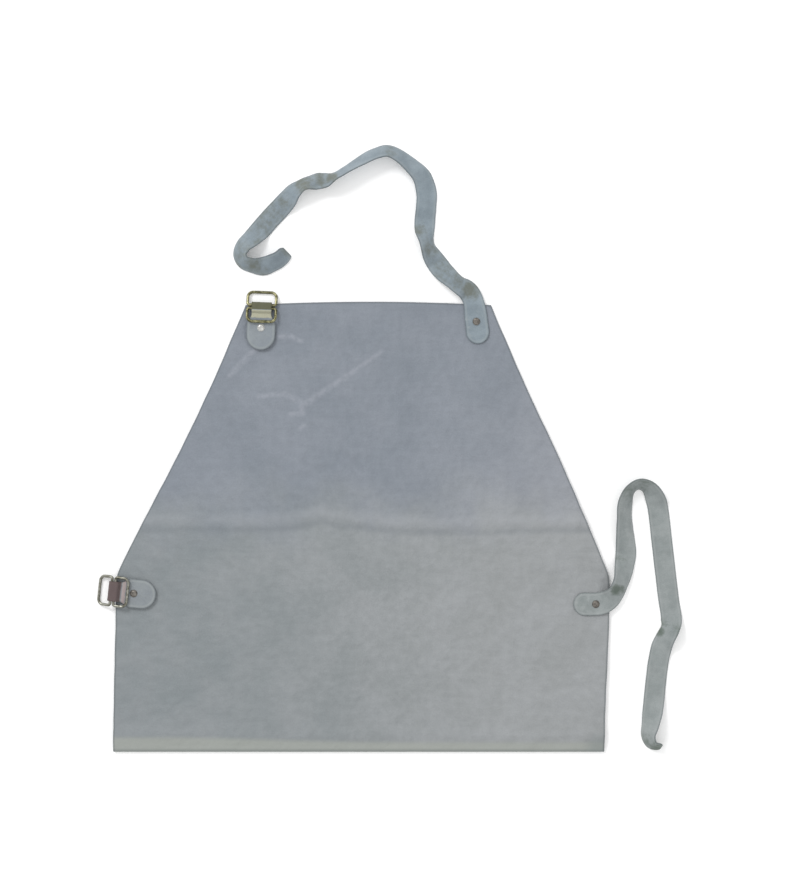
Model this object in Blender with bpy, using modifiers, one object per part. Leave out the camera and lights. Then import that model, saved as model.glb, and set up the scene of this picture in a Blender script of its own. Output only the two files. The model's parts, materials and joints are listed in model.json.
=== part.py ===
"""Split-leather bib apron, laid flat on its back with the lower skirt folded under.

The apron is one sheet of leather, cut wide at the skirt and narrow at the bib. A strap is
riveted to the right corner of the bib and another to the right of the waist. Two leather
tabs on the left hold pairs of wire rings, through which the straps are threaded and
cinched. The origin is on the underside of the folded lower skirt, at mid width.
+X is the right side of the apron as laid, +Y points to the bib, +Z up. Units are metres.
"""

import math

import bmesh
import bpy
from mathutils import Vector

MM = 0.001

# Leather
LEATHER = 1.6 * MM
GAP = 0.3 * MM

# Apron outline
TOP_Y = 0.3512
TOP_BOW = 0.004
BOW_START_Y = 0.30
SHOULDER_Y = 0.017
FOLD_Y = -0.197
LOWER_LENGTH = 0.205
TOP_HALF = 0.1495
SKIRT_HALF = 0.3008
SKIRT_TAPER = 0.0018
SIDE_HOLLOW = 0.028
HOLLOW_SKEW = 1.9
SHOULDER_SOFTNESS = 0.02
SHOULDER_END_Y = 0.045
WAIST_SHIFT = 0.0015
BIB_LEAN = 0.0068
SKIRT_LEAN = -0.0048
LEAN_RISE = 0.2
LOWER_INSET = 0.0012
ROW_STEP = 0.018
COLUMNS = 14

# Heights of the apron's underside
UNDER_SKIRT = 3.0 * MM
UNDER_BIB = 1.8 * MM
UNDER_TOP = 1.3 * MM
RAW_EDGE_Y = FOLD_Y + LOWER_LENGTH
STEP_START = RAW_EDGE_Y + 0.008
STEP_END = RAW_EDGE_Y + 0.024
BIB_LEVEL_Y = 0.30

# Rivets: a domed head on a shank, and a cap on the back
HEAD_RADIUS = 4.6 * MM
HEAD_HEIGHT = 1.7 * MM
SHANK_RADIUS = 2.0 * MM
HOLE_RADIUS = SHANK_RADIUS + GAP
WAIST_CAP_HEIGHT = 0.8 * MM
NECK_CAP_HEIGHT = 0.9 * MM
DOME_STEPS = 5
ROUND_STEPS = 24

# Ring tabs, in the tab's own frame: x from the rivet to the rings, z up from the apron
TAB_REACH = 25.6 * MM
TAB_TAIL = 27.0 * MM
TAB_HALF = 17.5 * MM
LOOP_HALF = 12.0 * MM
LOOP_START = 16.0 * MM
FLARE_END = 4.0 * MM
LEAF_LOW = GAP + LEATHER / 2
LEAF_HIGH = LEAF_LOW + LEATHER + GAP
BAR_SPACING = 4.0 * MM
LOOP_RADIUS = 2.0 * MM + LEATHER / 2
LOOP_TOP = LEAF_LOW + 2 * LOOP_RADIUS
BAR_HEIGHT = LEAF_LOW + LOOP_RADIUS
RAMP_TOP_X = 21.3 * MM
RAMP_END_X = 17.3 * MM

# Rings
WIRE_RADIUS = 1.75 * MM
RING_HALF = 17.3 * MM
RING_DEPTH = 16.5 * MM
FAR_CORNER = 6.5 * MM
BAR_CORNER = 2.5 * MM
CORNER_STEPS = 6
RING_LAID_BACK = math.radians(10)

# Straps
STRAP_HALF = 12.5 * MM
STRAP_END_HALF = 14.0 * MM
STRAP_TAIL = 27.0 * MM
STRAP_STEP = 7.0 * MM
STRAP_FLOOR = 0.9 * MM
STRAP_LIFTED = 48.0 * MM
STRAP_LANDED = 110.0 * MM
TIP_LENGTH = 5.0 * MM

# Rivet places
NECK_TAB_XY = (-0.1222, 0.3195)
NECK_STRAP_XY = (0.1399, 0.3271)
WAIST_TAB_XY = (-0.2768, -0.0037)
WAIST_STRAP_XY = (0.2851, -0.0167)
NECK_TAB_HEADING = math.radians(88)
WAIST_TAB_HEADING = math.radians(174)

# Strap routes from the riveted end to the free tip: x, y and the bank of the strap in degrees
NECK_STRAP_ROUTE = (
    (0.1430, 0.3002, 0),
    (0.1399, 0.3271, 0),
    (0.1366, 0.3505, 0),
    (0.1300, 0.3635, 5),
    (0.1190, 0.3708, 28),
    (0.1103, 0.3782, 28),
    (0.1000, 0.3880, 10),
    (0.0916, 0.3985, 5),
    (0.0855, 0.4075, 25),
    (0.0810, 0.4170, 45),
    (0.0785, 0.4270, 42),
    (0.0770, 0.4380, 15),
    (0.0772, 0.4500, 0),
    (0.0786, 0.4660, 12),
    (0.0792, 0.4840, 8),
    (0.0735, 0.5030, 22),
    (0.0615, 0.5160, 38),
    (0.0470, 0.5275, 47),
    (0.0330, 0.5340, 50),
    (0.0172, 0.5310, 52),
    (0.0000, 0.5223, 56),
    (-0.0190, 0.5107, 64),
    (-0.0330, 0.5028, 62),
    (-0.0440, 0.4988, 38),
    (-0.0545, 0.4972, 32),
    (-0.0690, 0.4938, 50),
    (-0.0825, 0.4850, 35),
    (-0.0915, 0.4738, 12),
    (-0.1010, 0.4635, 0),
    (-0.1110, 0.4530, 0),
    (-0.1210, 0.4415, 0),
    (-0.1320, 0.4300, 22),
    (-0.1425, 0.4200, 38),
    (-0.1476, 0.4088, 48),
    (-0.1430, 0.3990, 52),
    (-0.1310, 0.3948, 48),
    (-0.1200, 0.3942, 32),
    (-0.1090, 0.3978, 38),
    (-0.0990, 0.4030, 44),
    (-0.0903, 0.4115, 50),
)
WAIST_STRAP_ROUTE = (
    (0.2579, -0.0165, 0),
    (0.2851, -0.0167, 0),
    (0.2978, -0.0132, 0),
    (0.3085, -0.0035, 30),
    (0.3162, 0.0130, 34),
    (0.3200, 0.0300, 12),
    (0.3222, 0.0450, 0),
    (0.3212, 0.0620, 20),
    (0.3197, 0.0850, 38),
    (0.3207, 0.1070, 42),
    (0.3270, 0.1232, 56),
    (0.3385, 0.1292, 58),
    (0.3500, 0.1240, 48),
    (0.3583, 0.1100, 18),
    (0.3620, 0.0950, 0),
    (0.3660, 0.0600, 0),
    (0.3706, 0.0200, 0),
    (0.3742, -0.0100, 0),
    (0.3775, -0.0330, 5),
    (0.3755, -0.0465, 34),
    (0.3695, -0.0585, 28),
    (0.3652, -0.0710, 8),
    (0.3614, -0.0900, 0),
    (0.3584, -0.1150, 0),
    (0.3556, -0.1400, 12),
    (0.3520, -0.1590, 36),
    (0.3485, -0.1755, 54),
    (0.3525, -0.1868, 62),
    (0.3640, -0.1902, 66),
)

# Colours
SUEDE = (0.33, 0.35, 0.37, 1)
SUEDE_STRAP = (0.30, 0.33, 0.33, 1)
SUEDE_TAB = (0.36, 0.39, 0.40, 1)
RING_STEEL = (0.45, 0.44, 0.36, 1)
NICKEL = (0.75, 0.75, 0.73, 1)
BRONZE = (0.24, 0.20, 0.16, 1)


def clear_scene():
    for thing in list(bpy.data.objects):
        bpy.data.objects.remove(thing, do_unlink=True)


def new_collection(name):
    collection = bpy.data.collections.new(name)
    bpy.context.scene.collection.children.link(collection)
    return collection


def make_material(name, colour, roughness, metallic):
    material = bpy.data.materials.new(name)
    material.use_nodes = True
    shader = material.node_tree.nodes["Principled BSDF"]
    shader.inputs["Base Color"].default_value = colour
    shader.inputs["Roughness"].default_value = roughness
    shader.inputs["Metallic"].default_value = metallic
    return material


def ease(t):
    t = min(1.0, max(0.0, t))
    return t * t * (3 - 2 * t)


def mesh_object(name, points, faces, collection, material):
    mesh = bpy.data.meshes.new(name)
    mesh.from_pydata(points, [], faces)
    mesh.materials.append(material)
    thing = bpy.data.objects.new(name, mesh)
    collection.objects.link(thing)
    return thing


def strip_faces(rows, columns):
    """Faces of a grid whose rows hold the same number of points."""
    faces = []
    for row in range(rows - 1):
        for column in range(columns - 1):
            first = row * columns + column
            faces.append((first, first + 1, first + columns + 1, first + columns))
    return faces


def give_thickness(thing):
    solid = thing.modifiers.new("thickness", "SOLIDIFY")
    solid.thickness = LEATHER
    solid.offset = 0


def punch(thing, centre, cutters):
    """Cuts a rivet hole straight down through a leather piece."""
    mesh = bpy.data.meshes.new(thing.name + "_punch")
    shape = bmesh.new()
    bmesh.ops.create_cone(
        shape,
        cap_ends=True,
        segments=ROUND_STEPS,
        radius1=HOLE_RADIUS,
        radius2=HOLE_RADIUS,
        depth=40 * MM,
    )
    shape.to_mesh(mesh)
    shape.free()
    cutter = bpy.data.objects.new(mesh.name, mesh)
    cutter.location = centre
    cutter.hide_render = True
    cutter.display_type = "WIRE"
    cutters.objects.link(cutter)
    cut = thing.modifiers.new("rivet_hole", "BOOLEAN")
    cut.object = cutter
    cut.operation = "DIFFERENCE"
    cut.solver = "EXACT"


def middle(y):
    """Where the middle of the sheet lies: it is laid a little askew."""
    if y > 0:
        return WAIST_SHIFT + BIB_LEAN * ease(y / LEAN_RISE)
    return WAIST_SHIFT + SKIRT_LEAN * ease(-y / LEAN_RISE)


def half_width(y):
    """Half the sheet's width: near-straight skirt, soft shoulder, slightly hollow bib side."""
    t = (y - SHOULDER_Y) / (TOP_Y - SHOULDER_Y)
    rise = (t + math.hypot(t, SHOULDER_SOFTNESS)) / 2
    hollow = SIDE_HOLLOW * math.sin(math.pi * min(1.0, max(0.0, t)) ** HOLLOW_SKEW)
    taper = SKIRT_TAPER * ease(-y / LEAN_RISE)
    return SKIRT_HALF - taper - (SKIRT_HALF - TOP_HALF) * (rise + hollow)


def bowed(y, across):
    """The top edge is cut a little round: its corners lie lower than its middle."""
    return y - TOP_BOW * across**2 * ease((y - BOW_START_Y) / (TOP_Y - BOW_START_Y))


def underside(y):
    """Height of the apron's underside, which steps down past the lower skirt's raw edge."""
    if y < STEP_END:
        fall = ease((y - STEP_START) / (STEP_END - STEP_START))
        return UNDER_SKIRT + (UNDER_BIB - UNDER_SKIRT) * fall
    fall = min(1.0, (y - STEP_END) / (BIB_LEVEL_Y - STEP_END))
    return UNDER_BIB + (UNDER_TOP - UNDER_BIB) * fall


def row_places(low, high, marks):
    """Evenly spread rows from low to high, with the marked heights among them."""
    stops = [low] + [mark for mark in marks if low < mark < high] + [high]
    places = [low]
    for start, end in zip(stops, stops[1:]):
        count = max(1, round((end - start) / ROW_STEP))
        places += [start + (end - start) * (i + 1) / count for i in range(count)]
    return places


def sheet(name, rows, half_at, height_at, collection, material):
    points = []
    for y in rows:
        for column in range(COLUMNS + 1):
            across = 2 * column / COLUMNS - 1
            x = middle(y) + across * half_at(y)
            points.append((x, bowed(y, across), height_at(y) + LEATHER / 2))
    thing = mesh_object(name, points, strip_faces(len(rows), COLUMNS + 1), collection, material)
    give_thickness(thing)
    return thing


def make_apron_body(parts, cutters):
    step_middle = (STEP_START + STEP_END) / 2
    bow_middle = (BOW_START_Y + TOP_Y) / 2
    marks = (STEP_START, step_middle, STEP_END, SHOULDER_END_Y, BIB_LEVEL_Y, bow_middle)
    rows = row_places(FOLD_Y + GAP / 2, TOP_Y, marks)
    suede = make_material("apron_suede", SUEDE, 0.9, 0.0)
    body = sheet("apron_body", rows, half_width, underside, parts, suede)
    for place in (NECK_TAB_XY, NECK_STRAP_XY, WAIST_TAB_XY, WAIST_STRAP_XY):
        punch(body, (place[0], place[1], 0), cutters)


def make_lower_skirt(parts):
    def half_at(y):
        return half_width(y) - LOWER_INSET

    def flat_on_floor(_):
        return 0.0

    rows = row_places(FOLD_Y + GAP / 2, RAW_EDGE_Y, ())
    suede = make_material("lower_skirt_suede", SUEDE, 0.9, 0.0)
    sheet("lower_skirt", rows, half_at, flat_on_floor, parts, suede)


def turned(name, profile, collection, material):
    """A solid turned about Z from a profile that runs down its outer side."""
    edges = [(i, i + 1) for i in range(len(profile) - 1)]
    mesh = bpy.data.meshes.new(name)
    mesh.from_pydata([(radius, 0, height) for radius, height in profile], edges, [])
    mesh.materials.append(material)
    thing = bpy.data.objects.new(name, mesh)
    collection.objects.link(thing)
    screw = thing.modifiers.new("turn", "SCREW")
    screw.steps = ROUND_STEPS
    screw.render_steps = ROUND_STEPS
    screw.use_merge_vertices = True
    screw.merge_threshold = 0.00001
    screw.use_smooth_shade = True
    return thing


def make_rivet(name, place, top, bottom, cap_height, colour, parts):
    """A rivet whose head stands on top and whose shank reaches down to bottom."""
    metal = make_material(name + "_metal", colour, 0.35, 1.0)
    rim = 0.3 * HEAD_HEIGHT
    dome = []
    for i in range(DOME_STEPS + 1):
        turn = math.pi / 2 * i / DOME_STEPS
        height = top + rim + (HEAD_HEIGHT - rim) * math.cos(turn)
        dome.append((HEAD_RADIUS * math.sin(turn), height))
    foot = [(HEAD_RADIUS, top), (SHANK_RADIUS, top), (SHANK_RADIUS, bottom), (0, bottom)]
    rivet = turned(name, dome + foot, parts, metal)
    rivet.location = (place[0], place[1], 0)
    cap_top = bottom - GAP
    cap_low = cap_top - cap_height
    cap_profile = [(0, cap_top), (HEAD_RADIUS, cap_top), (HEAD_RADIUS, cap_low), (0, cap_low)]
    cap_metal = make_material(name + "_cap_metal", colour, 0.4, 1.0)
    cap = turned(name + "_back_cap", cap_profile, parts, cap_metal)
    cap.location = rivet.location


def tab_half_width(x):
    if x > LOOP_START:
        return LOOP_HALF
    if x > FLARE_END:
        part = (LOOP_START - x) / (LOOP_START - FLARE_END)
        return LOOP_HALF + (TAB_HALF - LOOP_HALF) * part
    centre = TAB_HALF - TAB_TAIL
    if x > centre:
        return TAB_HALF
    return TAB_HALF * math.sqrt(max(0.01, 1 - ((centre - x) / TAB_HALF) ** 2))


def tab_profile():
    """Side view of a tab: along the lower leaf, round the rings' bars, back on top."""
    end_round = [-TAB_TAIL + TAB_HALF * (1 - math.cos(math.pi / 2 * i / 6)) for i in range(7)]
    along = end_round + [0.0, FLARE_END, 10 * MM, LOOP_START, RAMP_TOP_X]
    bend_x = TAB_REACH + BAR_SPACING / 2
    lower = [(x, LEAF_LOW) for x in along]
    bend = []
    for i in range(9):
        turn = -math.pi / 2 + math.pi * i / 8
        height = BAR_HEIGHT + LOOP_RADIUS * math.sin(turn)
        bend.append((bend_x + LOOP_RADIUS * math.cos(turn), height))
    upper = [(RAMP_TOP_X, LOOP_TOP), (RAMP_END_X, LEAF_HIGH)]
    upper += [(x, LEAF_HIGH) for x in reversed(along[:-1])]
    return lower + bend + upper


def make_tab(name, place, heading, level, parts, cutters):
    points = []
    for x, height in tab_profile():
        half = tab_half_width(x)
        points += [(x, -half, height), (x, 0, height), (x, half, height)]
    suede = make_material(name + "_suede", SUEDE_TAB, 0.85, 0.0)
    tab = mesh_object(name, points, strip_faces(len(points) // 3, 3), parts, suede)
    tab.location = (place[0], place[1], level)
    tab.rotation_euler = (0, 0, heading)
    give_thickness(tab)
    punch(tab, (place[0], place[1], 0), cutters)
    return tab


def corner(centre, radius, start):
    """Points round a quarter of a circle."""
    turns = [start + math.pi / 2 * i / CORNER_STEPS for i in range(CORNER_STEPS + 1)]
    return [(centre[0] + radius * math.cos(t), centre[1] + radius * math.sin(t)) for t in turns]


def ring_outline():
    """A ring as a rounded rectangle, its straight bar on the local Y axis."""
    far = RING_DEPTH - FAR_CORNER
    outline = corner((far, RING_HALF - FAR_CORNER), FAR_CORNER, 0)
    outline += corner((BAR_CORNER, RING_HALF - BAR_CORNER), BAR_CORNER, math.pi / 2)
    outline += corner((BAR_CORNER, BAR_CORNER - RING_HALF), BAR_CORNER, math.pi)
    outline += corner((far, FAR_CORNER - RING_HALF), FAR_CORNER, 1.5 * math.pi)
    return [outline[-1]] + outline[:-1]


def make_ring(name, tab, bar_x, tilt, parts):
    wire = bpy.data.curves.new(name, "CURVE")
    wire.dimensions = "3D"
    wire.bevel_depth = WIRE_RADIUS
    wire.bevel_resolution = 2
    outline = ring_outline()
    spline = wire.splines.new("POLY")
    spline.points.add(len(outline) - 1)
    for point, (x, y) in zip(spline.points, outline):
        point.co = (x, y, 0, 1)
    spline.use_cyclic_u = True
    wire.materials.append(make_material(name + "_steel", RING_STEEL, 0.3, 1.0))
    ring = bpy.data.objects.new(name, wire)
    parts.objects.link(ring)
    ring.parent = tab
    ring.location = (bar_x, 0, BAR_HEIGHT)
    ring.rotation_euler = (0, tilt, 0)


def make_ring_pair(name, tab, level, parts):
    """The outer ring hangs down to the floor, and the inner one is laid back on the tab."""
    drop = level + BAR_HEIGHT - WIRE_RADIUS - 0.05 * MM
    outer_tilt = math.asin(drop / RING_DEPTH)
    make_ring(name + "_outer", tab, TAB_REACH + BAR_SPACING / 2, outer_tilt, parts)
    make_ring(name + "_inner", tab, TAB_REACH - BAR_SPACING / 2, RING_LAID_BACK - math.pi, parts)


def between(a, b, c, d, t):
    """Point of a Catmull-Rom curve from b to c."""
    return 0.5 * (
        2 * b + (c - a) * t + (2 * a - 5 * b + 4 * c - d) * t**2 + (3 * b - a - 3 * c + d) * t**3
    )


def smooth_route(route):
    """The route as points a step apart, each x, y and bank in radians, with its length."""
    knots = [Vector((x, y, math.radians(bank))) for x, y, bank in route]
    knots = [2 * knots[0] - knots[1]] + knots + [2 * knots[-1] - knots[-2]]
    fine = []
    for a, b, c, d in zip(knots, knots[1:], knots[2:], knots[3:]):
        fine += [between(a, b, c, d, i / 12) for i in range(12)]
    fine.append(knots[-2])
    lengths = [0.0]
    for a, b in zip(fine, fine[1:]):
        lengths.append(lengths[-1] + (b - a).xy.length)
    count = round(lengths[-1] / STRAP_STEP)
    stations = []
    at = 0
    for i in range(count + 1):
        length = lengths[-1] * i / count
        while at < len(lengths) - 2 and lengths[at + 1] < length:
            at += 1
        part = (length - lengths[at]) / (lengths[at + 1] - lengths[at])
        stations.append((fine[at].lerp(fine[at + 1], part), length))
    return stations


def strap_half_width(length, total):
    """Half width of a strap: round and a little wider at the rivet, blunt at the tip."""
    taper = ease((length - STRAP_TAIL) / STRAP_TAIL)
    half = STRAP_END_HALF + (STRAP_HALF - STRAP_END_HALF) * taper
    if length < STRAP_END_HALF:
        half *= math.sqrt(max(0.04, 1 - (1 - length / STRAP_END_HALF) ** 2))
    if total - length < TIP_LENGTH:
        half *= 0.8
    return half


def make_strap(name, route, rivet, level, parts, cutters):
    """A strap that starts on the apron at its rivet, comes down and lies on the floor."""
    stations = smooth_route(route)
    total = stations[-1][1]
    lifted = level + GAP + LEATHER / 2
    points = []
    for i, (place, length) in enumerate(stations):
        before = stations[max(0, i - 1)][0]
        after = stations[min(len(stations) - 1, i + 1)][0]
        along = (after - before).xy.normalized()
        half = strap_half_width(length, total)
        bank = place.z
        across = Vector((-along.y * math.cos(bank), along.x * math.cos(bank), math.sin(bank)))
        landing = ease((length - STRAP_LIFTED) / (STRAP_LANDED - STRAP_LIFTED))
        height = lifted + (STRAP_FLOOR - lifted) * landing + half * abs(math.sin(bank))
        centre = Vector((place.x, place.y, height))
        points += [centre - across * half, centre, centre + across * half]
    suede = make_material(name + "_suede", SUEDE_STRAP, 0.9, 0.0)
    strap = mesh_object(name, points, strip_faces(len(stations), 3), parts, suede)
    give_thickness(strap)
    punch(strap, (rivet[0], rivet[1], 0), cutters)


def main():
    clear_scene()
    parts = new_collection("bib_apron")
    cutters = new_collection("cutters")
    make_apron_body(parts, cutters)
    make_lower_skirt(parts)

    waist_level = UNDER_SKIRT + LEATHER
    neck_level = UNDER_TOP + LEATHER
    neck_tab = make_tab("neck_ring_tab", NECK_TAB_XY, NECK_TAB_HEADING, neck_level, parts, cutters)
    make_ring_pair("neck_ring", neck_tab, neck_level, parts)
    waist_tab = make_tab("waist_ring_tab", WAIST_TAB_XY, WAIST_TAB_HEADING, waist_level, parts, cutters)
    make_ring_pair("waist_ring", waist_tab, waist_level, parts)

    make_strap("neck_strap", NECK_STRAP_ROUTE, NECK_STRAP_XY, neck_level, parts, cutters)
    make_strap("waist_strap", WAIST_STRAP_ROUTE, WAIST_STRAP_XY, waist_level, parts, cutters)

    one_leaf = GAP + LEATHER + GAP
    two_leaves = one_leaf + LEATHER + GAP
    neck = (UNDER_TOP, NECK_CAP_HEIGHT)
    waist = (UNDER_SKIRT, WAIST_CAP_HEIGHT)
    make_rivet("neck_tab_rivet", NECK_TAB_XY, neck_level + two_leaves, *neck, NICKEL, parts)
    make_rivet("neck_strap_rivet", NECK_STRAP_XY, neck_level + one_leaf, *neck, BRONZE, parts)
    make_rivet("waist_tab_rivet", WAIST_TAB_XY, waist_level + two_leaves, *waist, BRONZE, parts)
    make_rivet("waist_strap_rivet", WAIST_STRAP_XY, waist_level + one_leaf, *waist, BRONZE, parts)


main()
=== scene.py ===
"""Looks of the split-leather bib apron: suede sheet, straps, ring tabs, rings and rivets.

Everything is in metres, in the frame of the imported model. Soft pieces stand for the plain
CAD solids of the same name, and each piece rides on the body of the solid it stands for.
"""

import bisect
import json
import math

import bpy
from mathutils import Matrix, Vector, noise


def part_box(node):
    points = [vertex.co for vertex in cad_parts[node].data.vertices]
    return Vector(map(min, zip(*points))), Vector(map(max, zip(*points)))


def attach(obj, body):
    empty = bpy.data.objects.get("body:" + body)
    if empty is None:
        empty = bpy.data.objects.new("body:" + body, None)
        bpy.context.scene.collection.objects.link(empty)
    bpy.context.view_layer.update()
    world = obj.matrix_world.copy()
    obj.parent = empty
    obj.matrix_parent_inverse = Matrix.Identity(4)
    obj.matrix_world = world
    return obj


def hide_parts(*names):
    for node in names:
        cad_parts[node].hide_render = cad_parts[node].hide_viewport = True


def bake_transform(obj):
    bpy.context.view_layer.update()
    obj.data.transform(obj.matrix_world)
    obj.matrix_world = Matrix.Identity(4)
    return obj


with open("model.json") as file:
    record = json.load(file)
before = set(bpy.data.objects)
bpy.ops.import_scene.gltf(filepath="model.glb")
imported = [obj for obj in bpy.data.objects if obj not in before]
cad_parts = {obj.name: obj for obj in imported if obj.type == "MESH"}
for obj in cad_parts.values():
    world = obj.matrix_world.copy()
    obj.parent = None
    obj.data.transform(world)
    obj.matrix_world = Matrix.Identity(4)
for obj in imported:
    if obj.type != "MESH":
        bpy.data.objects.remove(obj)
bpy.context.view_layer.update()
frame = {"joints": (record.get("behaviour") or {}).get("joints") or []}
MM = 0.001

# What the camera frames, in metres on the floor
VIEW_CENTRE = (0.0469, 0.1829)
VIEW_HEIGHT = 1.0732

# Brightness of a white sheet in the studio light
LIGHT_LEVEL = 1.22

# Half the floor's side, far enough that its edge stays out of every view
FLOOR_REACH = 40.0

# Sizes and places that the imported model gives
JOINTS = {joint["name"]: joint for joint in frame["joints"]}
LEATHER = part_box("lower_skirt")[1].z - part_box("lower_skirt")[0].z
GAP = 0.3 * MM
TOP_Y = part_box("apron_body")[1].y
RAW_EDGE_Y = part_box("lower_skirt")[1].y
FOLD_Y = JOINTS["skirt_fold"]["pos_m"][1]
FOLD_Z = JOINTS["skirt_fold"]["pos_m"][2]
FOLD_RADIUS = FOLD_Z - LEATHER / 2
NECK_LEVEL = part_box("neck_ring_tab")[0].z - GAP
WAIST_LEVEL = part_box("waist_ring_tab")[0].z - GAP

# Outline of the apron, as it was cut and laid
SHOULDER_Y = 0.017
TOP_HALF = 0.1495
SKIRT_HALF = 0.3008
SKIRT_TAPER = 0.0018
SIDE_HOLLOW = 0.028
HOLLOW_SKEW = 1.9
SHOULDER_SOFTNESS = 0.02
WAIST_SHIFT = 0.0015
BIB_LEAN = 0.0068
SKIRT_LEAN = -0.0048
LEAN_RISE = 0.2
TOP_BOW = 0.004
BOW_START_Y = 0.30
LOWER_INSET = 0.0012

# Height of the sheet's underside over the floor
UNDER_SKIRT = WAIST_LEVEL - LEATHER
UNDER_TOP = NECK_LEVEL - LEATHER
SLOPE_START_Y = RAW_EDGE_Y + 0.012
SLOPE_END_Y = 0.30

# Resolution of the leather meshes
SHEET_STEP = 4.0 * MM
ARC_ROWS = 12
STRIP_STEP = 2.2 * MM
STRIP_COLUMNS = 10
EDGE_ROUND = 0.6 * MM
EDGE_FIRST = 0.15 * MM
ROOT_ROWS = 10
ROUTE_STEPS = 16
LOOP_STEPS = 16
LOOP_TOP_STEPS = 6
RAMP_STEPS = 8

# Straps
STRAP_HALF = 12.5 * MM
STRAP_END_HALF = 14.0 * MM
STRAP_TAIL = 27.0 * MM
STRAP_FLOOR = 0.9 * MM
STRAP_LIFTED = 48.0 * MM
STRAP_LANDED = 110.0 * MM
TIP_ROUND = 5.0 * MM

# Ring tabs, in the tab's own frame: x from the rivet to the rings, z up from the apron
TAB_TAIL = 27.0 * MM
TAB_HALF = 17.5 * MM
LOOP_HALF = 12.0 * MM
LOOP_START = 16.0 * MM
FLARE_END = 4.0 * MM
LEAF_LOW = GAP + LEATHER / 2
LEAF_HIGH = LEAF_LOW + LEATHER + GAP
LOOP_RADIUS = 2.0 * MM + LEATHER / 2
BAR_HEIGHT = LEAF_LOW + LOOP_RADIUS
LOOP_TOP = BAR_HEIGHT + LOOP_RADIUS
RAMP_TOP_X = 21.3 * MM
RAMP_END_X = 17.3 * MM

# Rings and rivets
WIRE_RADIUS = 1.75 * MM
RING_HALF = 17.3 * MM
RING_DEPTH = 16.5 * MM
FAR_CORNER = 6.5 * MM
BAR_CORNER = 2.5 * MM
RING_LAID_BACK = math.radians(10)
HEAD_RADIUS = 4.6 * MM
HEAD_HEIGHT = 1.7 * MM
SHANK_RADIUS = 2.0 * MM

# Strap routes from the riveted end to the free tip: x, y and the bank of the strap in degrees
NECK_STRAP_ROUTE = (
    (0.1430, 0.3002, 0),
    (0.1399, 0.3271, 0),
    (0.1366, 0.3505, 0),
    (0.1300, 0.3635, 5),
    (0.1190, 0.3708, 28),
    (0.1103, 0.3782, 28),
    (0.1000, 0.3880, 10),
    (0.0916, 0.3985, 5),
    (0.0855, 0.4075, 25),
    (0.0810, 0.4170, 45),
    (0.0785, 0.4270, 42),
    (0.0770, 0.4380, 15),
    (0.0772, 0.4500, 0),
    (0.0786, 0.4660, 12),
    (0.0792, 0.4840, 8),
    (0.0735, 0.5030, 22),
    (0.0615, 0.5160, 38),
    (0.0470, 0.5275, 47),
    (0.0330, 0.5340, 50),
    (0.0172, 0.5310, 52),
    (0.0000, 0.5223, 56),
    (-0.0190, 0.5107, 64),
    (-0.0330, 0.5028, 62),
    (-0.0440, 0.4988, 38),
    (-0.0545, 0.4972, 32),
    (-0.0690, 0.4938, 50),
    (-0.0825, 0.4850, 35),
    (-0.0915, 0.4738, 12),
    (-0.1010, 0.4635, 0),
    (-0.1110, 0.4530, 0),
    (-0.1210, 0.4415, 0),
    (-0.1320, 0.4300, 22),
    (-0.1425, 0.4200, 38),
    (-0.1476, 0.4088, 48),
    (-0.1430, 0.3990, 52),
    (-0.1310, 0.3948, 48),
    (-0.1200, 0.3942, 32),
    (-0.1090, 0.3978, 38),
    (-0.0990, 0.4030, 44),
    (-0.0903, 0.4115, 50),
)
WAIST_STRAP_ROUTE = (
    (0.2579, -0.0165, 0),
    (0.2851, -0.0167, 0),
    (0.2978, -0.0132, 0),
    (0.3085, -0.0035, 30),
    (0.3162, 0.0130, 34),
    (0.3200, 0.0300, 12),
    (0.3222, 0.0450, 0),
    (0.3212, 0.0620, 20),
    (0.3197, 0.0850, 38),
    (0.3207, 0.1070, 42),
    (0.3270, 0.1232, 56),
    (0.3385, 0.1292, 58),
    (0.3500, 0.1240, 48),
    (0.3583, 0.1100, 18),
    (0.3620, 0.0950, 0),
    (0.3660, 0.0600, 0),
    (0.3706, 0.0200, 0),
    (0.3742, -0.0100, 0),
    (0.3775, -0.0330, 5),
    (0.3755, -0.0465, 34),
    (0.3695, -0.0585, 28),
    (0.3652, -0.0710, 8),
    (0.3614, -0.0900, 0),
    (0.3584, -0.1150, 0),
    (0.3556, -0.1400, 12),
    (0.3520, -0.1590, 36),
    (0.3485, -0.1755, 54),
    (0.3525, -0.1868, 62),
    (0.3640, -0.1902, 66),
)

# Places where the straps are darker, partly stained and partly painted shade at folds and twists, and
# rubbed ones with a strength below 0:
# x, y, reach, strength
NECK_STRAP_SPOTS = (
    (0.1330, 0.3660, 0.013, 0.85),
    (0.1180, 0.3760, 0.015, 0.50),
    (0.1000, 0.3900, 0.022, 0.42),
    (0.0830, 0.4150, 0.013, 0.55),
    (0.0700, 0.4380, 0.010, 0.60),
    (0.0340, 0.5330, 0.010, 0.45),
    (-0.0360, 0.5010, 0.008, 0.90),
    (-0.0500, 0.4990, 0.013, 0.65),
    (-0.0700, 0.4930, 0.012, 0.80),
    (-0.1150, 0.4520, 0.032, 0.42),
    (-0.1420, 0.4120, 0.018, 0.45),
    (-0.0950, 0.4720, 0.012, 0.52),
    (-0.1180, 0.4660, 0.008, 0.45),
    (-0.1270, 0.4240, 0.008, 0.45),
    (-0.1500, 0.3960, 0.009, 0.55),
    (-0.1310, 0.3960, 0.010, 0.75),
    (-0.1180, 0.3860, 0.008, 0.55),
    (-0.0920, 0.4120, 0.007, 0.60),
    (0.1399, 0.3271, 0.006, 0.45),
    (0.1400, 0.3260, 0.022, -0.22),
)
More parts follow.
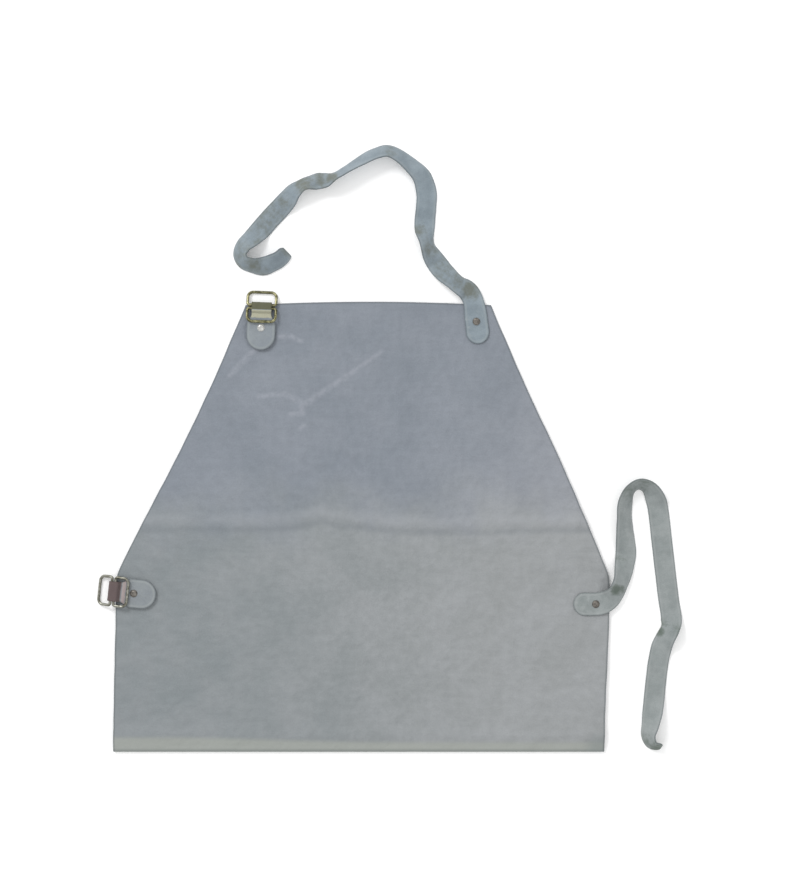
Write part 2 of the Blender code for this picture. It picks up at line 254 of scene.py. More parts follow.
WAIST_STRAP_SPOTS = (
    (0.3085, 0.0015, 0.007, 1.00),
    (0.3160, 0.0020, 0.006, 0.70),
    (0.3250, 0.1230, 0.014, 0.45),
    (0.3450, 0.1330, 0.014, 0.45),
    (0.3140, 0.0400, 0.010, 0.40),
    (0.3670, -0.0400, 0.007, 0.50),
    (0.3630, -0.0500, 0.007, 0.85),
    (0.3850, -0.0480, 0.008, 0.45),
    (0.3450, -0.1840, 0.009, 0.60),
    (0.3600, -0.1920, 0.010, 0.90),
    (0.2851, -0.0167, 0.006, 0.45),
    (0.2740, -0.0166, 0.025, -0.26),
    (0.3220, 0.0650, 0.022, -0.22),
)

# Along a tab from its rivet: where the stain of the rings starts, and the rubbed part before it
NECK_TAB_STAINS = (21.0 * MM, 11.5 * MM)
WAIST_TAB_STAINS = (14.5 * MM, 9.5 * MM)

# Painted shade at the right end of the fold, where its corner curls
FOLD_CORNER_SHADE_PLACE = (0.292, -0.194, 0)

# A strap's spot has faded to nothing at this many times its reach
SPOT_FADE = 1.8

# Past the fold, the fold's pale colour, partly wear and partly painted highlight, fades out on the
# under layer between these places
FOLD_FADE_START = FOLD_Y - 0.008
FOLD_FADE_END = FOLD_Y - 0.045

# How strongly the scuffs lighten the bib
SCUFF_STRENGTH = 0.30

# Around a rivet, as far as CALM_REACH, the sheet lies flat, and its waves grow back over CALM_EASE
CALM_REACH = 0.035
CALM_EASE = 0.05

# The valley of the packing crease across the sheet, where painted shade darkens it: x, y
CREASE_LINE = (
    (-0.33, 0.073),
    (-0.24, 0.073),
    (-0.136, 0.073),
    (-0.087, 0.0755),
    (-0.0665, 0.079),
    (-0.048, 0.084),
    (-0.030, 0.078),
    (0.004, 0.0755),
    (0.047, 0.071),
    (0.145, 0.070),
    (0.193, 0.072),
    (0.242, 0.073),
    (0.33, 0.073),
)


def ease(t):
    t = min(1.0, max(0.0, t))
    return t * t * (3 - 2 * t)


def lit(red, green, blue):
    """The base colour that looks like these 0 to 255 sRGB values in this light."""
    linear = [((c / 255 + 0.055) / 1.055) ** 2.4 for c in (red, green, blue)]
    return (*(min(1.0, c / LIGHT_LEVEL) for c in linear), 1.0)


# ---------------------------------------------------------------- materials


def add_node(tree, kind, settings=None, inputs=None):
    """A shader node with its settings, and its inputs set to values or linked to sockets."""
    made = tree.nodes.new(kind)
    for key, value in (settings or {}).items():
        setattr(made, key, value)
    for key, value in (inputs or {}).items():
        if isinstance(value, bpy.types.NodeSocket):
            tree.links.new(value, made.inputs[key])
        else:
            made.inputs[key].default_value = value
    return made


def new_material(name, roughness, metallic=0.0):
    material = bpy.data.materials.new(name)
    material.use_nodes = True
    shader = material.node_tree.nodes["Principled BSDF"]
    shader.inputs["Roughness"].default_value = roughness
    shader.inputs["Metallic"].default_value = metallic
    return material, material.node_tree, shader


def noise_of(tree, place, scale, detail=3.0, roughness=0.55, stretch=None):
    """Values of a noise whose features are 1 / scale metres across."""
    if stretch:
        place = add_node(
            tree, "ShaderNodeVectorMath", {"operation": "MULTIPLY"}, {0: place, 1: stretch}
        ).outputs["Vector"]
    made = add_node(
        tree,
        "ShaderNodeTexNoise",
        None,
        {"Vector": place, "Scale": scale, "Detail": detail, "Roughness": roughness},
    )
    return made.outputs["Fac"]


def spread(tree, value, low, high, to_low=0.0, to_high=1.0):
    """The value stretched from low..high to to_low..to_high, and clamped there."""
    made = add_node(
        tree,
        "ShaderNodeMapRange",
        {"interpolation_type": "SMOOTHSTEP"},
        {0: value, 1: low, 2: high, 3: to_low, 4: to_high},
    )
    return made.outputs[0]


def math_of(tree, operation, first, second):
    return add_node(
        tree, "ShaderNodeMath", {"operation": operation}, {0: first, 1: second}
    ).outputs[0]


def mixed(tree, factor, first, second, blend="MIX"):
    made = add_node(
        tree,
        "ShaderNodeMix",
        {"data_type": "RGBA", "blend_type": blend},
        {0: factor, 6: first, 7: second},
    )
    return made.outputs[2]


def scuff_group():
    """A node group: how near a place is to a straight scuff from one point to another."""
    group = bpy.data.node_groups.new("scuff", "ShaderNodeTree")
    for name, kind in (("Place", "NodeSocketVector"), ("From", "NodeSocketVector"),
                       ("Along", "NodeSocketVector"), ("Width", "NodeSocketFloat")):
        group.interface.new_socket(name, in_out="INPUT", socket_type=kind)
    group.interface.new_socket("Near", in_out="OUTPUT", socket_type="NodeSocketFloat")
    source = group.nodes.new("NodeGroupInput")
    result = group.nodes.new("NodeGroupOutput")

    def vector(operation, first, second):
        return add_node(
            group, "ShaderNodeVectorMath", {"operation": operation}, {0: first, 1: second}
        )

    away = vector("SUBTRACT", source.outputs["Place"], source.outputs["From"]).outputs[0]
    along = source.outputs["Along"]
    shadow = vector("DOT_PRODUCT", away, along).outputs["Value"]
    length = vector("DOT_PRODUCT", along, along).outputs["Value"]
    share = math_of(group, "DIVIDE", shadow, length)
    share = add_node(group, "ShaderNodeClamp", None, {0: share}).outputs[0]
    foot = add_node(
        group, "ShaderNodeVectorMath", {"operation": "SCALE"}, {0: along, "Scale": share}
    ).outputs[0]
    gap = vector("DISTANCE", away, foot).outputs["Value"]
    near = math_of(group, "DIVIDE", gap, source.outputs["Width"])
    near = spread(group, near, 0.0, 1.0, 1.0, 0.0)
    group.links.new(near, result.inputs["Near"])
    return group


SCUFF_GROUP = scuff_group()

# Faint light scuffs on the bib: from x, y to x, y, and width
SCUFFS = (
    (-0.0718, 0.2250, -0.0396, 0.2464, 0.0065),
    (-0.0396, 0.2464, -0.0073, 0.2679, 0.0055),
    (-0.0073, 0.2679, 0.0250, 0.2912, 0.0045),
    (-0.1600, 0.2620, -0.1240, 0.3000, 0.0060),
    (-0.0990, 0.3090, -0.0860, 0.3095, 0.0050),
    (-0.0860, 0.3095, -0.0730, 0.3030, 0.0050),
    (-0.1250, 0.2360, -0.0930, 0.2393, 0.0055),
    (-0.0930, 0.2393, -0.0737, 0.2285, 0.0065),
    (-0.0737, 0.2285, -0.0718, 0.2160, 0.0065),
    (-0.0862, 0.2141, -0.0718, 0.2160, 0.0055),
    (-0.0740, 0.1970, -0.0700, 0.2000, 0.0060),
)


def scuffs_at(tree, place):
    """How scuffed a place of the bib is, from 0 to 1, broken up by a fine noise."""
    total = None
    for x0, y0, x1, y1, width in SCUFFS:
        near = add_node(
            tree,
            "ShaderNodeGroup",
            {"node_tree": SCUFF_GROUP},
            {"Place": place, "From": (x0, y0, 0), "Along": (x1 - x0, y1 - y0, 0), "Width": width},
        ).outputs["Near"]
        total = near if total is None else math_of(tree, "MAXIMUM", total, near)
    broken = spread(tree, noise_of(tree, place, 160.0), 0.3, 0.65, 0.3, 1.0)
    return math_of(tree, "MULTIPLY", total, broken)


def suede_bump(tree, shader, place, nap, grain):
    """Nap, short fibres lying one way, and soft dents."""
    fine = noise_of(tree, place, 1100.0, 4.0, 0.7)
    fibres = noise_of(tree, place, 420.0, 3.0, 0.6, (1.0, 0.35, 1.0))
    dents = noise_of(tree, place, 55.0, 3.0, 0.5)
    normal = None
    for height, strength, depth in (
        (dents, 0.7, 4 * MM), (fibres, grain, 0.6 * MM), (fine, nap, 0.3 * MM),
    ):
        inputs = {"Strength": strength, "Distance": depth, "Height": height}
        if normal:
            inputs["Normal"] = normal
        normal = add_node(tree, "ShaderNodeBump", None, inputs).outputs[0]
    tree.links.new(normal, shader.inputs["Normal"])


def suede_tones(tree, place, dark, light, patch_scale=14.0):
    """Mottled suede colour: wide patches, small blotches, streaks and the speckle of the nap."""
    patches = spread(tree, noise_of(tree, place, patch_scale, 4.0, 0.6), 0.3, 0.7)
    colour = mixed(tree, patches, dark, light)
    blotches = spread(tree, noise_of(tree, place, 110.0, 4.0, 0.6), 0.3, 0.7, 0.965, 1.03)
    streaks = spread(tree, noise_of(tree, place, 60.0, 3.0, 0.6, (0.4, 2.4, 1.0)), 0.3, 0.7, 0.98, 1.02)
    speckle = spread(tree, noise_of(tree, place, 900.0, 2.0, 0.6), 0.25, 0.75, 0.92, 1.07)
    shade = math_of(tree, "MULTIPLY", math_of(tree, "MULTIPLY", blotches, streaks), speckle)
    grey = add_node(tree, "ShaderNodeCombineColor", None, {0: shade, 1: shade, 2: shade}).outputs[0]
    return mixed(tree, 1.0, colour, grey, "MULTIPLY")


def map_values(tree, name):
    """The two numbers that a mesh carries in one of its maps."""
    place = add_node(tree, "ShaderNodeUVMap", {"uv_map": name}).outputs[0]
    parts = add_node(tree, "ShaderNodeSeparateXYZ", None, {0: place})
    return place, parts.outputs[0], parts.outputs[1]


def band(tree, value, centre, reach, strength):
    """Strength at the centre value, falling softly to 0 at reach away from it."""
    away = math_of(tree, "ABSOLUTE", math_of(tree, "SUBTRACT", value, centre), 0.0)
    return spread(tree, away, 0.0, reach, strength, 0.0)


def finish_suede(shader):
    """Suede hardly shines, and its nap has a faint sheen."""
    shader.inputs["Sheen Weight"].default_value = 0.1
    shader.inputs["Sheen Roughness"].default_value = 0.6
    shader.inputs["Specular IOR Level"].default_value = 0.12


def sheet_tones(tree, place, x, y, crease):
    """Bluish on the bib, lighter and more neutral below the crease."""
    drift = spread(tree, noise_of(tree, place, 9.0, 3.0, 0.6), 0.3, 0.7, -0.03, 0.03)
    right = spread(tree, math_of(tree, "ADD", x, drift), -0.28, 0.28)

    bib = suede_tones(tree, place, BIB_DARK, BIB_LIGHT)
    lighter = spread(tree, math_of(tree, "SUBTRACT", x, math_of(tree, "MULTIPLY", y, 0.7)), -0.1, 0.2)
    bib = mixed(tree, lighter, bib, suede_tones(tree, place, BIB_PALE_DARK, BIB_PALE_LIGHT))
    skirt = mixed(
        tree,
        right,
        suede_tones(tree, place, SKIRT_DARK, SKIRT_LIGHT),
        suede_tones(tree, place, SKIRT_RIGHT_DARK, SKIRT_RIGHT_LIGHT),
    )
    wander = math_of(tree, "ADD", crease, math_of(tree, "MULTIPLY", drift, 0.8))
    below = spread(tree, wander, 0.075, -0.03)
    return mixed(tree, below, bib, skirt)


def with_crease_and_scuffs(tree, place, crease, colour):
    """The packing crease, a painted highlight, partly wear, above painted shade in its valley, and the
    bib's scuffs.
    """
    uneven = spread(tree, noise_of(tree, place, 12.0, 3.0, 0.6), 0.3, 0.7, 0.45, 1.0)
    light_band = math_of(tree, "MULTIPLY", band(tree, crease, 13 * MM, 12 * MM, 0.26), uneven)
    dark_band = math_of(tree, "MULTIPLY", band(tree, crease, 0.0, 7 * MM, 0.34), uneven)
    # Painted highlight, partly wear, on the crease's ridge, then painted shade in its valley
    colour = mixed(tree, light_band, colour, CREASE_HIGHLIGHT_AND_WEAR)
    colour = mixed(tree, dark_band, colour, CREASE_VALLEY_SHADE)
    rubbed = math_of(tree, "MULTIPLY", scuffs_at(tree, place), SCUFF_STRENGTH)
    return mixed(tree, rubbed, colour, SCUFF_LIGHT)


def with_fold_marks(tree, place, x, y, colour):
    """The pale band along the fold, partly worn nap and partly painted highlight on its rounded turn,
    the dark line of painted shade along the fold, and painted shade at its right end.
    """
    fold_top = spread(tree, x, -0.25, 0.05, FOLD_Y + 0.022, FOLD_Y + 0.016)
    fold = math_of(tree, "DIVIDE", math_of(tree, "SUBTRACT", fold_top, y), 8 * MM)
    fold = spread(tree, fold, 0.0, 1.0, 0.0, 0.8)
    onto_under = spread(tree, y, FOLD_FADE_START, FOLD_FADE_END)
    fold = math_of(tree, "MULTIPLY", fold, math_of(tree, "SUBTRACT", 1.0, onto_under))
    # Pale band along the fold: partly worn nap, partly painted highlight on its rounded turn
    colour = mixed(tree, fold, colour, FOLD_HIGHLIGHT_AND_WEAR)
    # Painted shade: a dark line where the fold turns under
    fold_line = band(tree, y, FOLD_Y + 1.5 * MM, 4 * MM, 0.35)
    colour = mixed(tree, fold_line, colour, EDGE_SHADE_AND_SOIL)
    # Painted shade at the fold's right corner
    away = add_node(
        tree, "ShaderNodeVectorMath", {"operation": "DISTANCE"}, {0: place, 1: FOLD_CORNER_SHADE_PLACE}
    ).outputs["Value"]
    return mixed(tree, spread(tree, away, 8 * MM, 26 * MM, 0.5, 0.0), colour, FOLD_CORNER_SHADE)


def sheet_material():
    """Suede of the apron, with its crease, scuffs, fold marks and darker cut edges; crease and fold
    marks are partly painted highlight and painted shade, the edges partly soil and partly painted
    shade.
    """
    material, tree, shader = new_material("apron_suede_look", 0.92)
    place, x, y = map_values(tree, "cut")
    _, edge, crease = map_values(tree, "edge")
    colour = sheet_tones(tree, place, x, y, crease)
    colour = with_crease_and_scuffs(tree, place, crease, colour)
    colour = with_fold_marks(tree, place, x, y, colour)
    # Darker cut edges: partly soil, partly painted shade
    colour = mixed(tree, spread(tree, edge, 0.3 * MM, 3.0 * MM, 0.55, 0.0), colour, EDGE_SHADE_AND_SOIL)
    tree.links.new(colour, shader.inputs["Base Color"])
    suede_bump(tree, shader, place, 0.5, 0.5)
    finish_suede(shader)
    return material


def strip_material(name, tones, darkening, pale):
    """Suede of a strap or tab. Its "edge" map says where it is darker, over 0, from stains and, on the
    straps, painted shade at folds and twists, or pale, below.
    """
    material, tree, shader = new_material(name, 0.9)
    place, _, _ = map_values(tree, "cut")
    _, edge, tone = map_values(tree, "edge")
    dark, light, rim = tones
    colour = suede_tones(tree, place, dark, light, 40.0)
    colour = mixed(tree, band(tree, edge, 2.4 * MM, 2.0 * MM, 0.45), colour, rim)
    # Darker cut edges: partly soil, partly painted shade
    colour = mixed(tree, spread(tree, edge, 0.2 * MM, 1.8 * MM, 0.45, 0.0), colour, EDGE_SHADE_AND_SOIL)
    rough = spread(tree, noise_of(tree, place, 150.0, 4.0, 0.65), 0.3, 0.7, -0.18, 0.18)
    mottled_tone = math_of(tree, "ADD", tone, rough)
    # Darker where stained and, on the straps, painted shade at folds and twists
    colour = mixed(tree, spread(tree, mottled_tone, 0.1, 0.9, 0.0, 0.85), colour, darkening)
    colour = mixed(tree, spread(tree, mottled_tone, -0.18, -0.6, 0.0, 0.85), colour, pale)
    tree.links.new(colour, shader.inputs["Base Color"])
    suede_bump(tree, shader, place, 0.6, 0.6)
    finish_suede(shader)
    return material


def raw_edge_material():
    """The cut side of the leather: fibrous, and darker, partly soil and partly painted shade."""
    material, tree, shader = new_material("raw_edge_look", 0.95)
    place = add_node(tree, "ShaderNodeTexCoord").outputs["Object"]
    fibres = spread(tree, noise_of(tree, place, 700.0, 4.0, 0.7), 0.3, 0.7)
    colour = mixed(tree, fibres, EDGE_SHADE_AND_SOIL, EDGE_PALE)
    tree.links.new(colour, shader.inputs["Base Color"])
    bump = add_node(
        tree, "ShaderNodeBump", None, {"Strength": 0.8, "Distance": 0.3 * MM, "Height": fibres}
    )
    tree.links.new(bump.outputs[0], shader.inputs["Normal"])
    return material


def metal_material(name, bright, tarnish, roughness):
    """Plated or bronzed metal: tarnish in patches, fine scratches and rubbed spots."""
    material, tree, shader = new_material(name, roughness, 1.0)
    place = add_node(tree, "ShaderNodeTexCoord").outputs["Object"]
    patches = spread(tree, noise_of(tree, place, 220.0, 5.0, 0.65), 0.38, 0.62)
    colour = mixed(tree, patches, bright, tarnish)
    tree.links.new(colour, shader.inputs["Base Color"])
    wear = noise_of(tree, place, 500.0, 4.0, 0.6)
    rough = spread(tree, wear, 0.3, 0.7, roughness * 0.7, min(1.0, roughness * 1.5))
    tree.links.new(rough, shader.inputs["Roughness"])
    scratches = noise_of(tree, place, 900.0, 3.0, 0.7, (1.0, 0.15, 1.0))
    bump = add_node(
        tree, "ShaderNodeBump", None, {"Strength": 0.25, "Distance": 0.1 * MM, "Height": scratches}
    )
    tree.links.new(bump.outputs[0], shader.inputs["Normal"])
    return material


# Colours as they should look under the studio light
BIB_DARK = lit(135, 142, 151)
BIB_LIGHT = lit(144, 150, 159)
BIB_PALE_DARK = lit(150, 154, 162)
BIB_PALE_LIGHT = lit(158, 162, 169)
SKIRT_DARK = lit(137, 144, 147)
SKIRT_LIGHT = lit(148, 153, 156)
SKIRT_RIGHT_DARK = lit(157, 160, 161)
SKIRT_RIGHT_LIGHT = lit(164, 167, 169)
# Painted highlight, partly wear, and painted shade of the crease
CREASE_HIGHLIGHT_AND_WEAR = lit(178, 181, 186)
CREASE_VALLEY_SHADE = lit(122, 128, 134)
# Pale fold band: partly wear, partly painted highlight
FOLD_HIGHLIGHT_AND_WEAR = lit(168, 172, 166)
SCUFF_LIGHT = lit(184, 187, 197)
# Painted shade at the fold's right corner
FOLD_CORNER_SHADE = lit(132, 140, 140)
# Darker cut edges and fold line: soil and painted shade
EDGE_SHADE_AND_SOIL = lit(92, 99, 102)
EDGE_PALE = lit(126, 132, 134)
NECK_STRAP_TONES = (lit(133, 145, 153), lit(149, 161, 169), lit(158, 167, 170))
WAIST_STRAP_TONES = (lit(145, 152, 152), lit(160, 166, 166), lit(168, 173, 173))
# Straps' darker colour: stains, and painted shade at folds and twists
NECK_STRAP_STAIN_AND_SHADE = lit(112, 116, 106)
STRAP_RUBBED = lit(172, 178, 178)
WAIST_STRAP_STAIN_AND_SHADE = lit(92, 104, 94)
NECK_TAB_TONES = (lit(140, 147, 154), lit(150, 157, 162), lit(157, 165, 164))
WAIST_TAB_TONES = (lit(140, 146, 151), lit(150, 156, 159), lit(162, 168, 167))
NECK_LOOP_STAIN = lit(92, 90, 56)
NECK_LOOP_PALE = lit(192, 190, 164)
WAIST_LOOP_STAIN = lit(96, 76, 74)
WAIST_LOOP_PALE = lit(178, 164, 162)
BRASS = lit(176, 172, 136)
BRASS_TARNISH = lit(98, 96, 68)
STEEL = lit(170, 170, 160)
STEEL_TARNISH = lit(112, 110, 98)
NICKEL = lit(240, 240, 236)
NICKEL_DULL = lit(205, 205, 202)
BRONZE = lit(150, 145, 138)
BRONZE_DULL = lit(112, 108, 103)


# ---------------------------------------------------------------- leather meshes


def across_shares(half, columns):
    """Places across a strip from -1 to 1, closer together beside its two cut edges."""
    first = min(EDGE_FIRST / half, 0.06)
    second = min(EDGE_ROUND / half, 0.18)
    inner = [second - 1 + 2 * (1 - second) * i / columns for i in range(columns + 1)]
    return [-1.0, first - 1] + inner + [1 - first, 1.0]


def edge_thickness(distance):
    """Half the leather's thickness this far from a cut edge, which is rounded off."""
    inward = 1 - min(1.0, max(0.0, distance) / EDGE_ROUND)
    return LEATHER / 2 * (0.35 + 0.65 * math.sqrt(1 - inward * inward))


def surface_normal(rows, row, column):
    last_row, last_column = len(rows) - 1, len(rows[0]) - 1
    along = rows[min(row + 1, last_row)][column] - rows[max(row - 1, 0)][column]
    across = rows[row][min(column + 1, last_column)] - rows[row][max(column - 1, 0)]
    return along.cross(across).normalized()


def grid_faces(row_count, column_count):
    """Faces of a closed leather grid, and how many of them are on its two wide sides."""
    below = row_count * column_count
    faces, rim = [], []
    for row in range(row_count - 1):
        for column in range(column_count - 1):
            a = row * column_count + column
            quad = (a, a + column_count, a + column_count + 1, a + 1)
            faces.append(quad)
            faces.append(tuple(below + corner for corner in reversed(quad)))
    for row in range(row_count - 1):
        left = row * column_count
        right = left + column_count - 1
        rim.append((left, left + below, left + column_count + below, left + column_count))
        rim.append((right, right + column_count, right + column_count + below, right + below))
    end = (row_count - 1) * column_count
    for column in range(column_count - 1):
        rim.append((column, column + 1, column + 1 + below, column + below))
        rim.append((end + column, end + column + below, end + column + 1 + below, end + column + 1))
    return faces + rim, len(faces)


def leather_object(name, rows, cuts, edges, face, rim):
    """Leather whose middle surface runs through rows of points.

    The map "cut" holds places on the flat leather, and "edge" the distance to a cut edge and
    one more number for the material.
    """
    tops, bottoms = [], []
    for row, points in enumerate(rows):
        for column, point in enumerate(points):
            up = surface_normal(rows, row, column) * edge_thickness(edges[row][column][0])
            tops.append(point + up)
            bottoms.append(point - up)
    faces, wide_count = grid_faces(len(rows), len(rows[0]))
    mesh = bpy.data.meshes.new(name)
    mesh.from_pydata(tops + bottoms, [], faces)
    for map_name, values in (("cut", cuts), ("edge", edges)):
        flat = [pair for row in values for pair in row]
        numbers = []
        for loop in mesh.loops:
            numbers += flat[loop.vertex_index % len(flat)]
        mesh.uv_layers.new(name=map_name).data.foreach_set("uv", numbers)
    mesh.materials.append(face)
    mesh.materials.append(rim)
    mesh.polygons.foreach_set(
        "material_index", [0] * wide_count + [1] * (len(faces) - wide_count)
    )
    mesh.shade_smooth()
    return add_object(name, mesh)


def add_object(name, mesh):
    thing = bpy.data.objects.new(name, mesh)
    bpy.context.scene.collection.objects.link(thing)
    return thing


def middle(y):
    """The sheet's middle line, which leans a little as the apron was laid."""
    if y > 0:
        return WAIST_SHIFT + BIB_LEAN * ease(y / LEAN_RISE)
    return WAIST_SHIFT + SKIRT_LEAN * ease(-y / LEAN_RISE)


def half_width(y):
    """Half the sheet's width: near-straight skirt, soft shoulder, slightly hollow bib side."""
    t = (y - SHOULDER_Y) / (TOP_Y - SHOULDER_Y)
    rise = (t + math.hypot(t, SHOULDER_SOFTNESS)) / 2
    hollow = SIDE_HOLLOW * math.sin(math.pi * min(1.0, max(0.0, t)) ** HOLLOW_SKEW)
    taper = SKIRT_TAPER * ease(-y / LEAN_RISE)
    return SKIRT_HALF - taper - (SKIRT_HALF - TOP_HALF) * (rise + hollow)


def bowed(y, across):
    """The top edge is cut a little round: its corners lie lower than its middle."""
    return y - TOP_BOW * across**2 * ease((y - BOW_START_Y) / (TOP_Y - BOW_START_Y))


def underside(y):
    """Height of the sheet's underside: level over the folded layer, then sloping to the top."""
    fall = (y - SLOPE_START_Y) / (SLOPE_END_Y - SLOPE_START_Y)
    return UNDER_SKIRT + (UNDER_TOP - UNDER_SKIRT) * ease(fall)


def crease_y(x):
    """Where the packing crease crosses this x."""
    for (x0, y0), (x1, y1) in zip(CREASE_LINE, CREASE_LINE[1:]):
        if x <= x1:
            return y0 + (y1 - y0) * ease((x - x0) / (x1 - x0))
    return CREASE_LINE[-1][1]


RIVET_PLACES = [
    Vector(JOINTS[name]["pos_m"][:2])
    for name in ("neck_tab_swivel", "neck_strap_swivel", "waist_tab_swivel", "waist_strap_swivel")
]


def calm(x, y):
    """0 where something is riveted on, so that the sheet stays flat there, and 1 elsewhere."""
    place = Vector((x, y))
    nearest = min((place - rivet).length for rivet in RIVET_PLACES)
    return ease((nearest - CALM_REACH) / CALM_EASE)


def rise_of(x, y):
    """How far the sheet stands above its lowest lie: soft waves, the crease and the fold."""
    slow = noise.noise(Vector((x * 5.0, y * 6.0, 1.7)))
    brisk = noise.noise(Vector((x * 14.0, y * 12.0, 4.2)))
    ripple = noise.noise(Vector((x * 40.0, y * 34.0, 8.1)))
    waves = 1.6 * (slow + 0.6) + 0.7 * (brisk + 0.6) + 0.16 * ripple
    gap = y - crease_y(x)
    strength = 0.7 + 0.3 * noise.noise(Vector((x * 12.0, 3.3, 0.5))) + 0.2 * ease((x + 0.05) / 0.15)
    ridge = 1.6 * strength * math.exp(-(((gap - 0.011) / 0.010) ** 2))
    valley = 0.8 * strength * math.exp(-((gap / 0.006) ** 2))
    from_fold = y - FOLD_Y
    puff = 2.2 * math.exp(-(((from_fold - 0.020) / 0.010) ** 2))
    settle = ease(from_fold / 0.02)
    return calm(x, y) * settle * max(0.0, waves + ridge - valley + puff) * MM


def sheet_profile():
    """Down the middle of the sheet: (y, height, layer, cut length), layer 1 above, -1 below."""
    start_y = FOLD_Y + FOLD_RADIUS + LEATHER / 2
    top_rows = round((TOP_Y - start_y) / SHEET_STEP)
    places = [TOP_Y, TOP_Y - EDGE_FIRST, TOP_Y - EDGE_ROUND]
    places += [TOP_Y + (start_y - TOP_Y) * i / top_rows for i in range(1, top_rows)]
    stations = [(y, underside(y) + LEATHER / 2, 1, y) for y in places]
    for i in range(ARC_ROWS + 1):
        turn = math.pi * i / ARC_ROWS
        y = start_y - FOLD_RADIUS * math.sin(turn)
        z = FOLD_Z + FOLD_RADIUS * math.cos(turn)
        stations.append((y, z, 0, start_y - FOLD_RADIUS * turn))
    low_rows = round((RAW_EDGE_Y - start_y) / SHEET_STEP)
    end_cut = start_y - FOLD_RADIUS * math.pi
    places = [start_y + (RAW_EDGE_Y - start_y) * i / low_rows for i in range(1, low_rows)]
    places += [RAW_EDGE_Y - EDGE_ROUND, RAW_EDGE_Y - EDGE_FIRST, RAW_EDGE_Y]
    for y in places:
        stations.append((y, LEATHER / 2, -1, end_cut - (y - start_y)))
    return stations


def sheet_row(station, last_cut):
    """One row of the sheet's points, with its places on the flat leather and its edge values."""
    y, height, layer, cut = station
    inset = LOWER_INSET if layer < 0 else 0.0
    if layer == 0:
        inset = LOWER_INSET * ease((FOLD_Z - height) / FOLD_RADIUS)
    half = half_width(y) - inset
    row, cut_row, edge_row = [], [], []
    for across in across_shares(half, round(2 * SKIRT_HALF / SHEET_STEP)):
        ragged = 0.5 * MM * noise.noise(Vector((across * 3, cut * 45, 2.2)))
        x = middle(y) + across * (half + ragged * abs(across) ** 8)
        place_y = bowed(y, across)
        lift = rise_of(x, y) if layer > 0 else 0.0
        row.append(Vector((x, place_y, height + lift)))
        cut_row.append((x, cut + place_y - y))
        to_edge = min(half * (1 - abs(across)), TOP_Y - cut, cut - last_cut)
        edge_row.append((to_edge, cut - crease_y(x)))
    return row, cut_row, edge_row


def make_sheet(face, rim):
    stations = sheet_profile()
    last_cut = stations[-1][3]
    rows, cuts, edges = zip(*(sheet_row(station, last_cut) for station in stations))
    sheet = leather_object("suede_sheet", rows, cuts, edges, face, rim)
    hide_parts("apron_body", "lower_skirt")
    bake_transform(sheet)


# ---------------------------------------------------------------- straps


def between(a, b, c, d, t):
    """Point of a Catmull-Rom curve from b to c."""
    return 0.5 * (
        2 * b + (c - a) * t + (2 * a - 5 * b + 4 * c - d) * t**2 + (3 * b - a - 3 * c + d) * t**3
    )


class Route:
    """A strap's middle line, as places with x, y and bank in radians, by their length."""

    def __init__(self, knots):
        knots = [Vector((x, y, math.radians(bank))) for x, y, bank in knots]
        knots = [2 * knots[0] - knots[1]] + knots + [2 * knots[-1] - knots[-2]]
        self.places = []
        for a, b, c, d in zip(knots, knots[1:], knots[2:], knots[3:]):
            self.places += [between(a, b, c, d, i / ROUTE_STEPS) for i in range(ROUTE_STEPS)]
        self.places.append(knots[-2])
        self.lengths = [0.0]
        for a, b in zip(self.places, self.places[1:]):
            self.lengths.append(self.lengths[-1] + (b - a).xy.length)
        self.total = self.lengths[-1]

    def at(self, length):
        length = min(self.total, max(0.0, length))
        after = min(len(self.lengths) - 1, bisect.bisect_right(self.lengths, length))
        start, end = self.lengths[after - 1], self.lengths[after]
        return self.places[after - 1].lerp(self.places[after], (length - start) / (end - start))

    def heading(self, length):
        return (self.at(length + STRIP_STEP) - self.at(length - STRIP_STEP)).xy.normalized()

    def stations(self):
        """Lengths of the rows: crowded at the round root and beside the cut tip."""
        root = [STRAP_END_HALF * (1 - math.cos(math.pi / 2 * i / ROOT_ROWS)) for i in range(ROOT_ROWS)]
        count = round((self.total - STRAP_END_HALF) / STRIP_STEP)
        span = self.total - EDGE_ROUND - STRAP_END_HALF
        rest = [STRAP_END_HALF + span * i / count for i in range(count + 1)]
        return root + rest + [self.total - EDGE_FIRST, self.total]


def strap_half_width(length, total, seed):
    """Half width of a strap: round and a little wider at the rivet, clipped at the tip."""
    taper = ease((length - STRAP_TAIL) / STRAP_TAIL)
    half = STRAP_END_HALF + (STRAP_HALF - STRAP_END_HALF) * taper
    half += 0.35 * MM * noise.noise(Vector((length * 60, seed, 0)))
    if length < STRAP_END_HALF:
        half *= math.sqrt(max(0.015, 1 - (1 - length / STRAP_END_HALF) ** 2))
    to_tip = total - length
    if to_tip < TIP_ROUND:
        half *= 0.72 + 0.28 * math.sqrt(max(0.0, 1 - (1 - to_tip / TIP_ROUND) ** 2))
    return half


def tone_at(point, spots):
    """How dark a place is from stains and painted shade at folds and twists, or how rubbed below 0,
    from spots of (x, y, reach, strength).
    """
    shares = [
        strength * ease(1 - math.hypot(point.x - x, point.y - y) / (SPOT_FADE * reach))
        for x, y, reach, strength in spots
    ]
    return max(shares) + min(shares)


